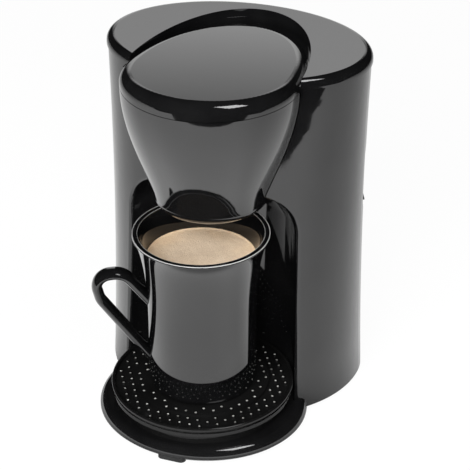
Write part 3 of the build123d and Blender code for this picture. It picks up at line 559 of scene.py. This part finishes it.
def platform_pimples(material):
    """Low pimples round the platform's edge, made at the nubs' height, where the pale tip highlight is
    painted, and then lifted.
    """
    middle_x, middle_y = tray_axis()
    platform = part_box("drip_tray")[1][2]
    row_step = NUB_PITCH * sqrt(3) / 2
    reach = int(PIMPLE_OUTER / row_step) + 1
    work = bmesh.new()
    for row in range(-reach, reach + 1):
        for column in range(-reach, reach + 1):
            x = (column + (row % 2) / 2) * NUB_PITCH
            y = row * row_step
            if PIMPLE_INNER < hypot(x, y) < PIMPLE_OUTER:
                foot = (middle_x + x, middle_y + y, NUB_TOP - PIMPLE_H)
                turn(work, dome(PIMPLE_R, PIMPLE_H), NUB_SIDES, at=foot)
    lift = (0, 0, platform + PIMPLE_H - PIMPLE_SINK - NUB_TOP)
    add_piece("platform_pimples", work, material, "tray", lift)


def add_mark(work, outline, steps, closed, tall, share):
    """Turned outline, drawn out upwards, laid on the rocker's face at a part of its height."""
    low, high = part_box("rocker")
    start_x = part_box("switch_frame")[1][0] + MARK_START
    start = Vector((start_x, (low[1] + high[1]) / 2, low[2] + share * (high[2] - low[2])))
    place, normal = NODES["rocker"].ray_cast(start, Vector((-1, 0, 0)))[1:3]
    side = Vector((0, 0, 1)).cross(normal).normalized()
    rise = normal.cross(side)
    mark = bmesh.new()
    turn(mark, outline, steps, closed)
    for vert in mark.verts:
        vert.co = place + side * vert.co.x + rise * (vert.co.y * tall) + normal * vert.co.z
    mesh = bpy.data.meshes.new("mark")
    mark.to_mesh(mesh)
    mark.free()
    work.from_mesh(mesh)
    bpy.data.meshes.remove(mesh)


def rocker_marks():
    """Raised pale ring and line, the usual marks for off and on, on the two ends of the rocker."""
    work = bmesh.new()
    add_mark(work, circle(MARK_R, 0, MARK_LINE), MARK_RING_STEPS, True, 1.0, MARK_RING_AT)
    disc = [(0, -MARK_LINE), (MARK_LINE, -MARK_LINE), (MARK_LINE, MARK_LINE), (0, MARK_LINE)]
    add_mark(work, disc, MARK_LINE_STEPS, False, MARK_R / MARK_LINE, MARK_LINE_AT)
    add_piece("rocker_marks", work, PALE_MARK_AND_HIGHLIGHT, "rocker")


# Studio

def sheet_reach(around):
    """How far the sheet reaches at a turn from the camera's side."""
    further = min(max(SHEET_TURN - cos(around), 0), 1) ** 2
    return SHEET_FRONT + SHEET_CURVE * (1 - cos(around)) + SHEET_SIDE * further


def sheet_shade(tree):
    """Shade painted on the sheet's glow in reflections: bright in front, darker behind and far away, with a
    painted shadow near the object and beside the plinth.
    """
    place = object_place(tree)
    away = vector_value(tree, "LENGTH", place)
    ahead = combine(tree, "DIVIDE", vector_value(tree, "DOT_PRODUCT", place, (0.0, -1.0, 0.0)), away)
    beside = vector_value(tree, "DISTANCE", place, (*tray_axis(), 0.0))
    shade = span(tree, ahead, SHEET_GREY, SHEET_BRIGHT, *SHEET_AHEAD, smooth=True)
    far = span(tree, away, 1.0, SHEET_FAR, *SHEET_FAR_SPAN)
    near = span(tree, away, SHEET_NEAR_SHADOW, 1.0, *SHEET_NEAR_SHADOW_SPAN, smooth=True)
    plinth_shadow = span(tree, beside, SHEET_PLINTH_SHADOW, 1.0, *SHEET_PLINTH_SHADOW_SPAN, smooth=True)
    for part in (far, near, plinth_shadow):
        shade = combine(tree, "MULTIPLY", shade, part)
    return shade


def floor():
    """Plain sheet that is white to the camera with a faint shadow, and has painted shade in reflections."""
    corners = []
    for step in range(ROUND_STEPS):
        around = 2 * pi * step / ROUND_STEPS
        reach = sheet_reach(around)
        azimuth = radians(VIEW_AZIMUTH) + around
        corners.append((SHEET_MIDDLE[0] + reach * sin(azimuth), SHEET_MIDDLE[1] - reach * cos(azimuth), 0))
    mesh = bpy.data.meshes.new("floor")
    mesh.from_pydata(corners, [], [list(range(ROUND_STEPS))])
    ground = bpy.data.objects.new("floor", mesh)
    bpy.context.scene.collection.objects.link(ground)
    material = bpy.data.materials.new("floor")
    material.use_nodes = True
    tree = material.node_tree
    tree.nodes.clear()
    output = tree.nodes.new("ShaderNodeOutputMaterial")
    path = tree.nodes.new("ShaderNodeLightPath")
    shade = combine(tree, "MAXIMUM", sheet_shade(tree), path.outputs["Is Camera Ray"])
    glow = tree.nodes.new("ShaderNodeEmission")
    tree.links.new(shade, glow.inputs["Strength"])
    paper = tree.nodes.new("ShaderNodeBsdfDiffuse")
    paper.inputs["Color"].default_value = (PAPER, PAPER, PAPER, 1)
    seen = span(tree, path.outputs["Is Camera Ray"], 0.0, GLOW_SEEN)
    mirrored = span(tree, path.outputs["Is Glossy Ray"], 0.0, GLOW_MIRRORED)
    glowing = combine(tree, "MAXIMUM", seen, mirrored)
    mix_shader(tree, glowing, paper.outputs["BSDF"], glow.outputs["Emission"], output)
    mesh.materials.append(material)


def surroundings():
    """Dark room with a pale screen behind the object, and white to the camera."""
    world = bpy.data.worlds.new("studio")
    bpy.context.scene.world = world
    world.use_nodes = True
    tree = world.node_tree
    tree.nodes.clear()
    output = tree.nodes.new("ShaderNodeOutputWorld")
    place = tree.nodes.new("ShaderNodeTexCoord").outputs["Generated"]
    split = tree.nodes.new("ShaderNodeSeparateXYZ")
    tree.links.new(place, split.inputs["Vector"])
    steps = tree.nodes.new("ShaderNodeValToRGB")
    points = steps.color_ramp.elements
    while len(points) < len(SCREEN_STEPS):
        points.new(0.5)
    for point, (elevation, glow) in zip(points, SCREEN_STEPS):
        point.position = sin(radians(elevation))
        point.color = (glow, glow, glow, 1)
    tree.links.new(split.outputs["Z"], steps.inputs["Fac"])
    level = vector_node(tree, "MULTIPLY", place, (1.0, 1.0, 0.0))
    flat = vector_node(tree, "NORMALIZE", level.outputs["Vector"])
    behind = (sin(radians(SCREEN_AZIMUTH)), cos(radians(SCREEN_AZIMUTH)), 0)
    near = vector_value(tree, "DOT_PRODUCT", flat.outputs["Vector"], behind)
    fade = (cos(radians(SCREEN_OUTER)), cos(radians(SCREEN_INNER)))
    room = tree.nodes.new("ShaderNodeBackground")
    tree.links.new(steps.outputs["Color"], room.inputs["Color"])
    tree.links.new(span(tree, near, ROOM_GLOW, 1.0, *fade, smooth=True), room.inputs["Strength"])
    white = tree.nodes.new("ShaderNodeBackground")
    white.inputs["Color"].default_value = (1, 1, 1, 1)
    seen = tree.nodes.new("ShaderNodeLightPath").outputs["Is Camera Ray"]
    mix_shader(tree, seen, room.outputs["Background"], white.outputs["Background"], output)


def aim(holder, azimuth, elevation, distance):
    """Put a camera or lamp round the view's target, facing it; azimuth 0 is in front, 90 on the right."""
    target = Vector(VIEW_TARGET)
    around = radians(azimuth)
    flat = cos(radians(elevation)) * distance
    rise = sin(radians(elevation)) * distance
    holder.location = target + Vector((sin(around) * flat, -cos(around) * flat, rise))
    holder.rotation_euler = (target - holder.location).to_track_quat("-Z", "Y").to_euler()


def softbox(name, azimuth, elevation, distance, size, power, mirrored):
    """Square studio lamp aimed at the object, which may be kept out of reflections."""
    data = bpy.data.lights.new(name, "AREA")
    data.size = size
    data.energy = power
    lamp = bpy.data.objects.new(name, data)
    bpy.context.scene.collection.objects.link(lamp)
    lamp.visible_glossy = mirrored
    aim(lamp, azimuth, elevation, distance)


def camera():
    """Camera at the photograph's angle."""
    data = bpy.data.cameras.new("camera")
    data.sensor_width = SENSOR
    data.lens = LENS
    holder = bpy.data.objects.new("camera", data)
    bpy.context.scene.collection.objects.link(holder)
    aim(holder, VIEW_AZIMUTH, VIEW_ELEVATION, VIEW_DISTANCE)
    bpy.context.scene.camera = holder


paint_frame()
coffee()
mug_rim()
tray_lip()
studs = nub_plastic()
tray_nubs(studs)
platform_pimples(studs)
rocker_marks()
floor()
surroundings()
for lamp_values in LAMPS:
    softbox(*lamp_values)
camera()
bpy.context.scene.view_settings.view_transform = "Standard"
